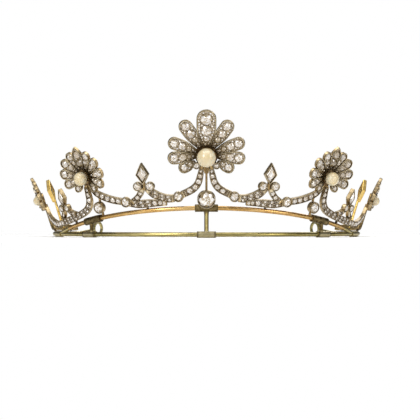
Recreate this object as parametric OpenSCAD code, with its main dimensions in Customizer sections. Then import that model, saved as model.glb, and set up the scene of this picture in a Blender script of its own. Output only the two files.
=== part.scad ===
// Tiara: a spray of flower heads, garlands and trefoils set with old-cut stones and pearls,
// carried on a frame of two gold rails that run together at the ends.
// The front faces -Y, +Z is up, and the piece stands on the plane z = 0.

/* [Frame] */
// Radius of the circle that both rails follow
rail_radius = 72; // [71:0.5:73]
// Thickness of a rail
rail_d = 2; // [1.8:0.1:2.1]
// Height of the upper rail above the lower rail at the front
rail_rise = 11.4; // [11:0.2:12]
// Azimuth at which the two rails run together, counted from the front
join_azimuth = 68; // [67:1:69]
// Azimuth of the side brackets
bracket_azimuth = 45; // [44:1:46]
// Outer diameter of the sleeves on the lower rail
lower_sleeve_d = 2.8; // [2.7:0.1:3]
// Outer diameter of the sleeves on the upper rail
upper_sleeve_d = 3.3; // [3.1:0.1:3.4]

/* [Ends] */
// Azimuth of the loop at each end
loop_azimuth = 130; // [128:1:132]
// Diameter of the eye in each end loop
loop_bore_d = 5.2; // [4.8:0.2:5.6]
// Width of the metal round the eye
loop_rim = 1; // [0.8:0.1:1.2]
// Thickness of the flat loop
loop_thick = 1.1; // [0.9:0.1:1.4]

/* [Ornament] */
// Angle that the ornament leans outward
flare = 18; // [16:1:20]
// Width of the thin metal rim round each setting
rim = 0.4; // [0.35:0.05:0.45]
// Diameter of the pearl in the centre flower
centre_pearl_d = 8.1; // [7.8:0.1:8.2]
// Diameter of the pearls in the two side flowers
side_pearl_d = 6.1; // [5.8:0.1:6.2]
// Diameter of the pearls in the two end flowers
end_pearl_d = 4.5; // [4.2:0.1:4.6]
// Radius of the diamond under the centre flower
centre_diamond_r = 3.45; // [3.3:0.05:3.5]
// Size of the end flowers, as a share of the side flowers
end_flower_scale = 0.78; // [0.76:0.01:0.8]

/* [Hidden] */
$fn = 48;

// Distance from the rail circle's centre back to the middle of the whole piece
circle_y = 19.7;
// Small gap round stones and pearls, round the rails in their sleeves, and under the posts
gap = 0.1;
rail_gap = 0.05;
post_gap = 0.25;
// Posts that carry the garlands
post_w = 1.2;
post_thick = 0.8;
rail_z = lower_sleeve_d/2;

// The upper rail is an arc in a plane that rises to the front from where the rails meet
join_half = rail_radius*sin(join_azimuth);
join_y = -rail_radius*cos(join_azimuth);
join_depth = rail_radius + join_y;
rail_slant = sqrt(join_depth^2 + rail_rise^2);
rail_tilt = atan2(rail_rise, join_depth);
arc_radius = (join_half^2 + rail_slant^2)/(2*rail_slant);

// Where the rails end, and where the ferrule that takes them begins and ends
upper_rail_end = 59;
lower_rail_end = 71;
ferrule_start = 66.5;
ferrule_end = 75;
wire_bend = 118;
wire_d = 1.9;
wire_end_d = 1.4;
wire_lap = 0.5;

// Section of the garland band: its back, its floor under the stones and the top of its rims
band_back = -0.9;
band_floor = 0;
band_top = 0.75;
band_rim = 0.3;
// Longest straight stretch of a band, and the space between its stones
band_step = 2;
stone_pitch_gap = 0.67;
B_START = 0;
B_END = 1;
B_ROWS = 2;

function azimuth(s) = s*180/(PI*rail_radius);
function arc_angle(psi) = asin(rail_radius*sin(psi)/arc_radius);
function upper_point(psi) =
    let (a = arc_angle(psi), v = rail_slant - arc_radius*(1 - cos(a)))
    [arc_radius*sin(a), join_y - v*cos(rail_tilt), rail_z + v*sin(rail_tilt)];
function lower_point(psi) = [rail_radius*sin(psi), -rail_radius*cos(psi), rail_z];
function base_point(psi) = abs(psi) < join_azimuth ? upper_point(psi) : lower_point(psi);
function spray_up(psi) = [sin(psi)*sin(flare), -cos(psi)*sin(flare), cos(flare)];
function spray_out(psi) = [sin(psi)*cos(flare), -cos(psi)*cos(flare), -sin(flare)];
// Point of the leaning spray: s along the rail, h up from it, w outward
function spray_point(s, h, w = 0) =
    let (psi = azimuth(s)) base_point(psi) + h*spray_up(psi) + w*spray_out(psi);

module placed() {
    translate([0, circle_y, 0]) children();
}

module on_side(side) {
    placed() mirror([side < 0 ? 1 : 0, 0, 0]) children();
}

// Draws in the plane of the spray: X along the rail, Y up, Z outward
module on_spray(s, h, w = 0) {
    psi = azimuth(s);
    translate(base_point(psi))
        rotate([0, 0, psi])
            rotate([flare, 0, 0])
                translate([0, -w, h])
                    rotate([90, 0, 0])
                        children();
}

module upper_rail_plane() {
    translate([0, join_y, rail_z])
        rotate([-rail_tilt, 0, 0])
            translate([0, arc_radius - rail_slant, 0])
                children();
}

module arc_tube(radius, tube_d, from, to) {
    rotate([0, 0, from - 90])
        rotate_extrude(angle = to - from, $fn = 180)
            translate([radius, 0])
                circle(d = tube_d, $fn = 32);
}

module lower_arc(tube_d, from, to) {
    translate([0, 0, rail_z]) arc_tube(rail_radius, tube_d, from, to);
}

module upper_arc(tube_d, from, to) {
    upper_rail_plane() arc_tube(arc_radius, tube_d, arc_angle(from), arc_angle(to));
}

module rod(from, to, d1, d2) {
    v = to - from;
    translate(from)
        rotate([0, acos(v.z/norm(v)), atan2(v.y, v.x)])
            cylinder(h = norm(v), d1 = d1, d2 = d2);
}

// Frame

module lower_rail() {
    color("darkkhaki") placed() lower_arc(rail_d, -lower_rail_end, lower_rail_end);
}

module upper_rail() {
    color("goldenrod") placed() upper_arc(rail_d, -upper_rail_end, upper_rail_end);
}

// Post between two sleeves, through which the rails pass. The post flares at its head
post_head_h = 1.6;
post_head_flare = 1.35;
module bracket(psi, upper_span, lower_span, post_d) {
    top = upper_point(psi);
    foot = lower_point(psi);
    bore_d = rail_d + 2*rail_gap;
    difference() {
        union() {
            upper_arc(upper_sleeve_d, upper_span[0], upper_span[1]);
            lower_arc(lower_sleeve_d, lower_span[0], lower_span[1]);
            rod(foot, top, post_d, post_d);
            rod(top - [0, 0, upper_sleeve_d/2 + post_head_h], top,
                post_d, post_head_flare*post_d);
        }
        upper_arc(bore_d, upper_span[0] - 1, upper_span[1] + 1);
        lower_arc(bore_d, lower_span[0] - 1, lower_span[1] + 1);
    }
}

// Half the length of a sleeve, as an angle along its rail, and the post between
upper_half = 3.9;
lower_half = 3.2;
centre_post_d = 1.9;
side_post_d = 1.6;

module centre_bracket() {
    color("dimgray") placed()
        bracket(0, [-upper_half, upper_half], [-lower_half, lower_half], centre_post_d);
}

module side_bracket(side) {
    upper_mid = bracket_azimuth - 1;
    lower_mid = bracket_azimuth + 1;
    color("dimgray") on_side(side)
        bracket(bracket_azimuth, [upper_mid - upper_half, upper_mid + upper_half],
                [lower_mid - lower_half, lower_mid + lower_half], side_post_d);
}

// Ferrule that takes both rails, wire that runs on from it, and the flat loop that stands on it
module end_loop(side) {
    loop_r = loop_bore_d/2 + loop_rim;
    bend = lower_point(wire_bend);
    eye = [rail_radius*sin(loop_azimuth), -rail_radius*cos(loop_azimuth), loop_r];
    run = eye - bend;
    reach = norm(run);
    wire_stop = bend + run*(reach - loop_r + loop_rim/2)/reach;
    color("khaki") on_side(side)
        difference() {
            union() {
                upper_arc(rail_d, upper_rail_end + 0.1, join_azimuth - 0.5);
                lower_arc(lower_sleeve_d - 0.1, ferrule_start, ferrule_end);
                lower_arc(wire_d, ferrule_end - 1, wire_bend);
                rod(bend - wire_lap*run/reach, wire_stop, wire_d - 2*gap, wire_end_d);
                in_loop(eye, run) cylinder(r = loop_r, h = loop_thick, center = true);
            }
            lower_arc(rail_d + 2*rail_gap, upper_rail_end - 2, lower_rail_end + 0.1);
            in_loop(eye, run) cylinder(d = loop_bore_d, h = 3*loop_thick, center = true);
        }
}

module in_loop(eye, run) {
    translate(eye)
        rotate([0, 0, atan2(run.y, run.x)])
            rotate([90, 0, 0])
                children();
}

// Stones and settings

module cut_stone(r) {
    cylinder(r1 = r, r2 = 0.55*r, h = 0.62*r, $fn = 8);
}

// Large stone with a table, eight crown facets, a girdle and a pavilion
module large_stone(r) {
    rotate_extrude($fn = 8)
        polygon([[0, -0.45*r], [r, -0.05*r], [r, 0.08*r], [0.55*r, 0.5*r], [0, 0.5*r]]);
}

// Thickness of a setting's plate, and of the floor under its stones
plate = 1.5;
pocket_floor = 0.7;

function mix(a, b, t) = a + (b - a)*t;
function last(list) = list[len(list) - 1];

// A petal is a row of this form
// [angle, start, length, tip_r, base_r, fill, stones, pointed, full]
P_ANGLE = 0;
P_START = 1;
P_LENGTH = 2;
P_TIP = 3;
P_BASE = 4;
P_FILL = 5;
P_STONES = 6;
P_POINTED = 7;
P_FULL = 8;

centre_petals = [
    [0, 6.2, 10.2, 4.2, 2.3, 0.68, 3, false, 0.7],
    [34, 5.7, 10.2, 2.95, 1.5, 0.78, 4, false, 0.7],
    [67, 5.5, 9.4, 2.75, 1.3, 0.8, 4, false, 0.7],
    [93, 5.5, 8.4, 2.75, 1.2, 0.8, 4, false, 0.7],
    [118, 6.3, 4.5, 2.5, 1, 0.8, 2, false, 0.7]
];
side_petals = [
    [0, 3.6, 11, 3.1, 0, 0.8, 2, true, 0.5],
    [27, 4.6, 6.4, 2.3, 0.95, 0.9, 2, false, 0.96],
    [54, 4.6, 6.8, 2.4, 0.95, 0.88, 2, false, 0.96],
    [80, 4.6, 6.8, 2.4, 0.95, 0.88, 2, false, 0.96],
    [105, 4.6, 5.9, 2.25, 0.95, 0.9, 2, false, 0.96],
    [134, 4.7, 2.6, 1.7, 1, 0.92, 1, false, 0.7]
];

function scaled_petals(rows, k) = [for (p = rows)
    [p[P_ANGLE], k*p[P_START], k*p[P_LENGTH], k*p[P_TIP], k*p[P_BASE], p[P_FILL],
     p[P_STONES], p[P_POINTED], p[P_FULL]]];

// Outline of a petal: a round base, sides that swell over the share of its length named full,
// and a round tip
function swell(p, y) =
    mix(p[P_BASE], p[P_TIP], sin(90*min(1, y/(p[P_FULL]*p[P_LENGTH]))));
function drop_outline(p, inset) =
    let (tip_r = p[P_TIP] - inset, base_r = p[P_BASE] - inset,
         side = [for (i = [0:4]) p[P_FULL]*p[P_LENGTH]*i/4])
    concat(
        [for (y = side) [swell(p, y) - inset, y]],
        [for (a = [0:22.5:180]) [tip_r*cos(a), p[P_LENGTH] + tip_r*sin(a)]],
        [for (i = [4:-1:0]) [inset - swell(p, side[i]), side[i]]],
        [for (a = [225:45:315]) [base_r*cos(a), base_r*sin(a)]]);

// Outline of a pointed oval: two equal arcs
function oval_half(y, length, half) =
    let (arc_r = (length^2/4 + half^2)/(2*half))
    sqrt(max(0, arc_r^2 - (y - length/2)^2)) - arc_r + half;
function oval_outline(length, half) = concat(
    [for (i = [0:8]) let (y = length*i/8) [oval_half(y, length, half), y]],
    [for (i = [7:-1:1]) let (y = length*i/8) [-oval_half(y, length, half), y]]);

function petal_outline(p, inset) = p[P_POINTED]
    ? [for (q = oval_outline(p[P_LENGTH] - 2*inset*p[P_LENGTH]/(2*p[P_TIP]), p[P_TIP] - inset))
        q + [0, inset*p[P_LENGTH]/(2*p[P_TIP])]]
    : drop_outline(p, inset);
function petal_half(p, y) = p[P_POINTED]
    ? oval_half(y, p[P_LENGTH], p[P_TIP])
    : swell(p, y);
function petal_stone_r(p, y) = p[P_FILL]*(petal_half(p, y) - rim - gap);
// Stones follow one another down the petal from its tip, each as [y, radius]
function petal_stones(p, y, r, count) = count == 0 ? [] :
    let (guess = y - 2*r - gap,
         next_r = petal_stone_r(p, max(0, guess)),
         next_y = y - r - next_r - 1.5*gap)
    concat([[y, r]], petal_stones(p, next_y, next_r, count - 1));
function stones_of(p) =
    let (y = p[P_POINTED] ? 0.66*p[P_LENGTH] : p[P_LENGTH])
    petal_stones(p, y, petal_stone_r(p, y), p[P_STONES]);

module petal_place(p, cup) {
    rotate([0, 0, -p[P_ANGLE]])
        translate([0, p[P_START], 0])
            rotate([cup, 0, 0])
                children();
}

module both_sides(p) {
    children();
    if (p[P_ANGLE] > 0) mirror([1, 0, 0]) children();
}

// Setting of a flower: cupped petals on a hub with a seat and a post for the pearl
flower_w = 0.4;
pearl_post_d = 0.8;
pearl_drill_d = 1;
module flower_setting(petals, pearl_d, cup, pearl_z) {
    hub_r = 0.86*petals[1][P_START];
    hub_back = -0.7;
    hub_top = 0.8;
    difference() {
        union() {
            for (p = petals) both_sides(p) petal_place(p, cup)
                linear_extrude(plate) polygon(petal_outline(p, 0));
            translate([0, 0, hub_back]) cylinder(r = hub_r, h = hub_top - hub_back);
        }
        for (p = petals) both_sides(p) petal_place(p, cup)
            translate([0, 0, pocket_floor])
                linear_extrude(plate) polygon(petal_outline(p, rim));
        translate([0, 0, pearl_z]) sphere(d = pearl_d + 2*gap);
    }
    translate([0, 0, hub_back]) cylinder(d = pearl_post_d, h = pearl_z - hub_back, $fn = 24);
}

module flower_stones(petals, cup) {
    for (p = petals) both_sides(p) petal_place(p, cup)
        for (q = stones_of(p))
            translate([0, q[0], pocket_floor + gap]) cut_stone(q[1]);
}

module flower_pearl(pearl_d, pearl_z) {
    difference() {
        translate([0, 0, pearl_z]) sphere(d = pearl_d);
        translate([0, 0, -1]) cylinder(d = pearl_drill_d, h = pearl_z + 1 + gap, $fn = 24);
    }
}

// Round setting, open behind, for one large stone
module collet(r, back, top) {
    translate([0, 0, back]) cylinder(r = r + gap + rim, h = top - back);
}

module collet_bore(r, back, top) {
    translate([0, 0, back - 1]) cylinder(r = r + gap, h = top - back + 2);
}

// Bands of stones. A band is [skip at its start, skip at its end, rows of [s, h, half width]]:
// the skips are the lengths that hold no stones

function blend(a, b, c, d, t) = 0.5*(2*b + (c - a)*t + (2*a - 5*b + 4*c - d)*t^2
    + (3*b - a - 3*c + d)*t^3);
function smooth(rows, steps) = let (n = len(rows)) concat(
    [for (i = [0:n - 2], j = [0:steps - 1])
        blend(rows[max(i - 1, 0)], rows[i], rows[i + 1], rows[min(i + 2, n - 1)], j/steps)],
    [rows[n - 1]]);
function lengths(path, i = 1, sum = 0) = i == len(path) ? [sum] :
    concat([sum], lengths(path, i + 1, sum
        + norm(spray_point(path[i][0], path[i][1]) - spray_point(path[i - 1][0], path[i - 1][1]))));
// One look-up list for each column of a band's rows, with the length along it as the key
function stations(rows) =
    let (path = smooth(rows, 6), sums = lengths(path))
    [for (k = [0:2]) [for (i = [0:len(path) - 1]) [sums[i], path[i][k]]]];
function total_length(stations) = last(stations[0])[0];
function station(stations, at) = [for (column = stations) lookup(at, column)];

// Corners [across, outward] of the band's section, placed on the spray
function section_ring(stations, at, inset, low, high) =
    let (q = station(stations, at),
         out = spray_out(azimuth(q[0])),
         ahead = station(stations, at + 0.2),
         behind = station(stations, at - 0.2),
         run = spray_point(ahead[0], ahead[1]) - spray_point(behind[0], behind[1]),
         across = cross(out, run)/norm(cross(out, run)),
         half = q[2] - inset)
    [for (c = [[-half, low], [half, low], [half, high], [-half, high]])
        spray_point(q[0], q[1]) + c[0]*across + c[1]*out];

module sweep(stations, from, to, inset, low, high) {
    steps = ceil((to - from)/band_step);
    points = [for (i = [0:steps])
        each section_ring(stations, mix(from, to, i/steps), inset, low, high)];
    walls = [for (i = [0:steps - 1], j = [0:3])
        [4*i + j, 4*i + 4 + j, 4*i + 4 + (j + 1)%4, 4*i + (j + 1)%4]];
    polyhedron(points = points, convexity = 6,
        faces = concat(walls, [[0, 1, 2, 3]], [[for (k = [3:-1:0]) 4*steps + k]]));
}

module band_body(band) {
    along = stations(band[B_ROWS]);
    sweep(along, 0, total_length(along), 0, band_back, band_top);
}

module band_channel(band) {
    along = stations(band[B_ROWS]);
    sweep(along, band[B_START], total_length(along) - band[B_END], band_rim,
          band_floor, band_top + 1);
}

module bands(list) {
    difference() {
        for (band = list) band_body(band);
        for (band = list) band_channel(band);
    }
}

// Stones side by side along a band, each as [s, h, radius]
function band_stone_r(along, at) = lookup(at, along[2]) - band_rim - gap;
function walk(along, at, r, end) = at + r > end ? [] :
    let (next_r = band_stone_r(along, at + 2*r))
    concat([[lookup(at, along[0]), lookup(at, along[1]), r]],
        walk(along, at + r + next_r + stone_pitch_gap, next_r, end));
function band_stones(band) =
    let (along = stations(band[B_ROWS]), r = band_stone_r(along, band[B_START]))
    walk(along, band[B_START] + r + gap, r, total_length(along) - band[B_END] - gap);

module band_stone_row(band) {
    for (q = band_stones(band)) on_spray(q[0], q[1], band_floor + gap) cut_stone(q[2]);
}

// A lozenge is a four-sided setting: half width, height above and below its widest line
function lozenge_outline(half, above, below, cut) = [
    [half, cut], [cut, above - cut], [-cut, above - cut], [-half, cut],
    [-half, -cut], [-cut, cut - below], [cut, cut - below], [half, -cut]
];

module lozenge_plate(half, above, below, depth) {
    linear_extrude(depth) polygon([[half, 0], [0, above], [-half, 0], [0, -below]]);
}

module lozenge_stone(half, above, below, depth) {
    linear_extrude(depth, scale = 0.5)
        polygon(lozenge_outline(half, above, below, 0.12*half));
}

// Flowers

centre_flower_h = 23.6;
centre_cup = 7;
centre_collet_h = 4.9;
centre_pearl_z = 4.2;
// The round setting below the flower stands in front of the sleeve on the upper rail
collet_back = upper_sleeve_d/2 + gap - flower_w;
collet_top = collet_back + 2.6;
centre_drop = centre_flower_h - centre_collet_h;
wire_w = 1.2;
wire_back = -0.7;
wire_depth = 2.2;

// The two small round settings at the foot of the pearl
small_r = 1.05;
small_at = [4.3, -4.4, -0.4];
small_floor = 1.1;
module by_pearl() {
    for (x = [-1, 1]) translate([x*small_at.x, small_at.y, small_at.z]) children();
}

module centre_flower_setting() {
    color("silver") placed() on_spray(0, centre_flower_h, flower_w) difference() {
        union() {
            flower_setting(centre_petals, centre_pearl_d, centre_cup, centre_pearl_z);
            by_pearl() cylinder(r = small_r + gap + rim, h = small_floor + 0.8);
            translate([0, -centre_drop, 0]) {
                collet(centre_diamond_r, collet_back, collet_top);
                translate([-wire_w/2, centre_diamond_r + gap, wire_back])
                    cube([wire_w, centre_drop - centre_diamond_r - small_at.x, wire_depth]);
            }
        }
        by_pearl() translate([0, 0, small_floor]) cylinder(r = small_r + gap, h = 2);
        translate([0, -centre_drop, 0])
            collet_bore(centre_diamond_r, collet_back, collet_top);
    }
}

module centre_flower_stones() {
    color("white") placed() on_spray(0, centre_flower_h, flower_w) {
        flower_stones(centre_petals, centre_cup);
        by_pearl() translate([0, 0, small_floor + gap]) cut_stone(small_r);
    }
}

module centre_flower_pearl() {
    color("ivory") placed() on_spray(0, centre_flower_h, flower_w)
        flower_pearl(centre_pearl_d, centre_pearl_z);
}

module centre_diamond() {
    color("white") placed() on_spray(0, centre_collet_h, flower_w + collet_top - 1.3)
        large_stone(centre_diamond_r);
}

side_flower_s = 53.4;
side_flower_h = 19.6;
side_collet_s = 49.3;
side_collet_h = 4.9;
side_diamond_r = 2.15;
side_cup = 9;
side_pearl_z = 3.2;
side_collet_back = -0.6;
side_collet_top = 2;
end_flower_s = 102;
end_flower_h = 17;
end_pearl_z = 2.4;
end_petals = scaled_petals(side_petals, end_flower_scale);

module side_flower_setting(side) {
    color("silver") on_side(side)
        on_spray(side_flower_s, side_flower_h, flower_w)
            flower_setting(side_petals, side_pearl_d, side_cup, side_pearl_z);
}

module side_flower_stones(side) {
    color("white") on_side(side)
        on_spray(side_flower_s, side_flower_h, flower_w)
            flower_stones(side_petals, side_cup);
}

module side_flower_pearl(side) {
    color("ivory") on_side(side)
        on_spray(side_flower_s, side_flower_h, flower_w)
            flower_pearl(side_pearl_d, side_pearl_z);
}

module side_diamond(side) {
    color("white") on_side(side)
        on_spray(side_collet_s, side_collet_h, side_collet_top - 0.7) large_stone(side_diamond_r);
}

module end_flower_setting(side) {
    color("silver") on_side(side)
        on_spray(end_flower_s, end_flower_h, flower_w)
            flower_setting(end_petals, end_pearl_d, side_cup, end_pearl_z);
}

module end_flower_stones(side) {
    color("white") on_side(side)
        on_spray(end_flower_s, end_flower_h, flower_w)
            flower_stones(end_petals, side_cup);
}

module end_flower_pearl(side) {
    color("ivory") on_side(side)
        on_spray(end_flower_s, end_flower_h, flower_w)
            flower_pearl(end_pearl_d, end_pearl_z);
}

// Garlands

inner_bands = [
    [0.6, 1, [[1.95, 17.95, 0.95], [2.5, 14.4, 1.4], [3.5, 11, 1.5], [5.8, 8.4, 1.55],
              [10.2, 6.2, 1.5]]],
    [0.9, 2, [[13.6, 4.8, 1.6], [16.4, 4.8, 1.7], [19.4, 5.9, 1.6], [22.2, 7.3, 1.8],
              [25, 10, 1.3]]],
    [1.7, 1, [[17, 2.9, 1.1], [20.4, 3.1, 1.35], [25.2, 3.3, 1.7], [29.6, 3.4, 1.7],
              [34.2, 4.5, 1.45]]],
    [1.6, 0.9, [[27.2, 10.4, 1.25], [28.1, 8.3, 1.3], [30, 6.2, 1.3], [32.6, 4.7, 1.3]]],
    [1, 0.6, [[37, 5.4, 1.45], [41.6, 6.8, 1.5], [46, 8.8, 1.5], [50, 11.5, 1.3],
              [52.15, 14.9, 0.85]]]
];
inner_collets = [[11.8, 5.4, 1.8], [35.6, 5.1, 1.8]];
inner_trefoil = [26.2, 16.4];
inner_lozenge = [2.45, 4.4, 3.6];
trefoil_r = 1.55;

outer_bands = [
    [0.6, 0.6, [[54.8, 15.2, 1], [54.6, 11.4, 1.4], [54.9, 8.2, 1.55], [57, 5.4, 1.6],
                [61.4, 4, 1.65], [68, 3.5, 1.65], [76, 3.5, 1.6], [84, 4.4, 1.5],
                [92, 6.4, 1.4], [97.4, 9, 1.3], [100.7, 12.4, 1]]],
    [0.8, 3.3, [[65.8, 4.8, 1.1], [69, 6.4, 1.15], [71.7, 9.4, 1.1]]],
    [2.7, 0.8, [[74, 9.2, 1.1], [75.4, 7, 1.15], [78, 5, 1.1]]]
];
outer_trefoil = [72.8, 14];
outer_lozenge = [2.05, 3.6, 3];
outer_trefoil_r = 1.3;

end_bands = [
    [0.6, 0.6, [[103.3, 12.4, 1], [104.2, 9.2, 1.3], [107, 5.4, 1.45], [112, 3.6, 1.5],
                [120, 3.2, 1.5], [130, 3, 1.5], [139, 2.9, 1.4], [147, 2.7, 1.2]]]
];
end_leaf = [131.5, 22];
end_lozenge = [2.4, 4.6, 5];

module setting_cup(s, h, r) {
    on_spray(s, h) translate([0, 0, band_back]) cylinder(r = r + gap + rim, h = 2);
}

module setting_well(s, h, r) {
    on_spray(s, h) translate([0, 0, band_floor]) cylinder(r = r + gap, h = 3);
}

// Post that carries a band on the rail below it
module rail_post(s, h) {
    foot = rail_d/2 + post_gap;
    on_spray(s, 0) translate([-post_w/2, foot, band_back]) cube([post_w, h - foot, post_thick]);
}

// Four-sided setting with a round one at each side of its foot, and a stem below
trefoil_depth = 2.1;
stem_w = 1.8;
stem_thick = 1.5;
point_rim = 0.8;
lozenge_gap = 0.15;
pair_apart = 1.3;
pair_drop = 1.7;
pair_w = 0.6;
module on_pair(lozenge, r) {
    for (x = [-1, 1]) translate([x*(r + pair_apart), -lozenge[2] - pair_drop, 0]) children();
}

module trefoil_body(at, lozenge, r, stem) {
    on_spray(at[0], at[1]) translate([0, 0, band_back]) {
        lozenge_plate(lozenge[0] + gap + rim, lozenge[1] + point_rim, lozenge[2] + point_rim,
                      trefoil_depth);
        on_pair(lozenge, r) cylinder(r = r + gap + rim, h = trefoil_depth);
        translate([-stem_w/2, -lozenge[2] - stem, 0]) cube([stem_w, stem, stem_thick]);
    }
}

module trefoil_wells(at, lozenge, r) {
    on_spray(at[0], at[1]) {
        translate([0, 0, band_floor])
            lozenge_plate(lozenge[0] + gap, lozenge[1] + lozenge_gap, lozenge[2] + lozenge_gap,
                          trefoil_depth);
        on_pair(lozenge, r) translate([0, 0, band_back - 1])
            cylinder(r = r + gap, h = trefoil_depth + 2);
    }
}

module lozenge_in(at, lozenge) {
    on_spray(at[0], at[1], band_floor + gap)
        lozenge_stone(lozenge[0] - lozenge_gap, lozenge[1] - lozenge_gap,
                      lozenge[2] - lozenge_gap, 1.5);
}

module trefoil_pair(at, lozenge, r) {
    on_spray(at[0], at[1], pair_w) on_pair(lozenge, r) large_stone(r);
}

module inner_garland(side) {
    color("silver") on_side(side) difference() {
        union() {
            bands(inner_bands);
            for (c = inner_collets) setting_cup(c[0], c[1], c[2]);
            on_spray(side_collet_s, side_collet_h)
                collet(side_diamond_r, side_collet_back, side_collet_top);
            trefoil_body(inner_trefoil, inner_lozenge, trefoil_r, 2.8);
            rail_post(26, 2.7);
            rail_post(side_collet_s, side_collet_h + 5.5);
        }
        for (c = inner_collets) setting_well(c[0], c[1], c[2]);
        on_spray(side_collet_s, side_collet_h)
            collet_bore(side_diamond_r, side_collet_back, side_collet_top);
        trefoil_wells(inner_trefoil, inner_lozenge, trefoil_r);
    }
}

module inner_garland_stones(side) {
    color("white") on_side(side) {
        for (band = inner_bands) band_stone_row(band);
        for (c = inner_collets) on_spray(c[0], c[1], band_floor + gap) cut_stone(c[2]);
    }
}

module outer_garland(side) {
    color("silver") on_side(side) difference() {
        union() {
            bands(outer_bands);
            trefoil_body(outer_trefoil, outer_lozenge, outer_trefoil_r, 2.4);
            rail_post(68, 3.4);
        }
        trefoil_wells(outer_trefoil, outer_lozenge, outer_trefoil_r);
    }
}

module outer_garland_stones(side) {
    color("white") on_side(side) for (band = outer_bands) band_stone_row(band);
}

// Last stretch of the garland, with a tall leaf that is open behind its stone
leaf_thick = 1.9;
leaf_rim = 0.6;
leaf_point = 0.9;
leaf_foot = 3;
module end_spray(side) {
    color("silver") on_side(side) difference() {
        union() {
            bands(end_bands);
            on_spray(end_leaf[0], end_leaf[1]) translate([0, 0, band_back]) {
                lozenge_plate(end_lozenge[0] + leaf_rim, end_lozenge[1] + leaf_point,
                              end_lozenge[2] + leaf_point, leaf_thick);
                translate([-post_w/2, leaf_foot - end_leaf[1], 0])
                    cube([post_w, end_leaf[1] - end_lozenge[2] - leaf_foot, post_thick]);
            }
            rail_post(112, 3.5);
            rail_post(140, 2.8);
        }
        on_spray(end_leaf[0], end_leaf[1]) translate([0, 0, band_back - 1])
            lozenge_plate(end_lozenge[0], end_lozenge[1], end_lozenge[2], 2*leaf_thick);
    }
}

module end_spray_stones(side) {
    color("white") on_side(side) for (band = end_bands) band_stone_row(band);
}

module inner_lozenge_stone(side) {
    color("white") on_side(side) lozenge_in(inner_trefoil, inner_lozenge);
}

module outer_lozenge_stone(side) {
    color("white") on_side(side) lozenge_in(outer_trefoil, outer_lozenge);
}

module inner_trefoil_stones(side) {
    color("white") on_side(side) trefoil_pair(inner_trefoil, inner_lozenge, trefoil_r);
}

module outer_trefoil_stones(side) {
    color("white") on_side(side) trefoil_pair(outer_trefoil, outer_lozenge, outer_trefoil_r);
}

module end_lozenge_stone(side) {
    inset = 0.3;
    color("white") on_side(side) on_spray(end_leaf[0], end_leaf[1], band_back + 0.5)
        lozenge_stone(end_lozenge[0] - inset, end_lozenge[1] - inset, end_lozenge[2] - inset, 1.3);
}

lower_rail();
upper_rail();
end_loop(-1);  // end_loop_left
end_loop(1);  // end_loop_right
centre_bracket();
side_bracket(-1);  // side_bracket_left
side_bracket(1);  // side_bracket_right
centre_flower_setting();
centre_flower_stones();
centre_flower_pearl();
centre_diamond();
side_flower_setting(-1);  // side_flower_setting_left
side_flower_setting(1);  // side_flower_setting_right
side_flower_stones(-1);  // side_flower_stones_left
side_flower_stones(1);  // side_flower_stones_right
side_flower_pearl(-1);  // side_flower_pearl_left
side_flower_pearl(1);  // side_flower_pearl_right
side_diamond(-1);  // side_diamond_left
side_diamond(1);  // side_diamond_right
end_flower_setting(-1);  // end_flower_setting_left
end_flower_setting(1);  // end_flower_setting_right
end_flower_stones(-1);  // end_flower_stones_left
end_flower_stones(1);  // end_flower_stones_right
end_flower_pearl(-1);  // end_flower_pearl_left
end_flower_pearl(1);  // end_flower_pearl_right
inner_garland(-1);  // inner_garland_left
inner_garland(1);  // inner_garland_right
inner_garland_stones(-1);  // inner_garland_stones_left
inner_garland_stones(1);  // inner_garland_stones_right
outer_garland(-1);  // outer_garland_left
outer_garland(1);  // outer_garland_right
outer_garland_stones(-1);  // outer_garland_stones_left
outer_garland_stones(1);  // outer_garland_stones_right
end_spray(-1);  // end_spray_left
end_spray(1);  // end_spray_right
end_spray_stones(-1);  // end_spray_stones_left
end_spray_stones(1);  // end_spray_stones_right
inner_lozenge_stone(-1);  // inner_lozenge_stone_left
inner_lozenge_stone(1);  // inner_lozenge_stone_right
inner_trefoil_stones(-1);  // inner_trefoil_stones_left
inner_trefoil_stones(1);  // inner_trefoil_stones_right
outer_lozenge_stone(-1);  // outer_lozenge_stone_left
outer_lozenge_stone(1);  // outer_lozenge_stone_right
outer_trefoil_stones(-1);  // outer_trefoil_stones_left
outer_trefoil_stones(1);  // outer_trefoil_stones_right
end_lozenge_stone(-1);  // end_lozenge_stone_left
end_lozenge_stone(1);  // end_lozenge_stone_right
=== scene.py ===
import math
import random

import bmesh
import bpy
import numpy as np
from mathutils import Matrix, Vector, noise


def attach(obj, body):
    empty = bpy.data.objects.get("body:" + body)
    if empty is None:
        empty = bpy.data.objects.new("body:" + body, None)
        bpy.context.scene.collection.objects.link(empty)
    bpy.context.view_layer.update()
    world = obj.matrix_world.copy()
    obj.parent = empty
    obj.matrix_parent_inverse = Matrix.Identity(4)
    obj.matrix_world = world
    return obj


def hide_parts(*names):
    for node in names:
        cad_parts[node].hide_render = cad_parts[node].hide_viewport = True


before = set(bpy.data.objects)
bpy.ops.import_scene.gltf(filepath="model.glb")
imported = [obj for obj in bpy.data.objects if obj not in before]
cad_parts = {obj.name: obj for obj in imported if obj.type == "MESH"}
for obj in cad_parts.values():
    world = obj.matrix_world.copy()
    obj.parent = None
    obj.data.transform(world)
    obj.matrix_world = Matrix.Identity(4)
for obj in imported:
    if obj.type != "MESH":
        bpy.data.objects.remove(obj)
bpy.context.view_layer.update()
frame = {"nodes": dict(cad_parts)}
nodes = frame["nodes"]
scene = bpy.context.scene
print("frame loaded:", len(nodes), "nodes")

mm = 0.001  # sizes are in millimetres, and become metres when a mesh is finished


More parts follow.
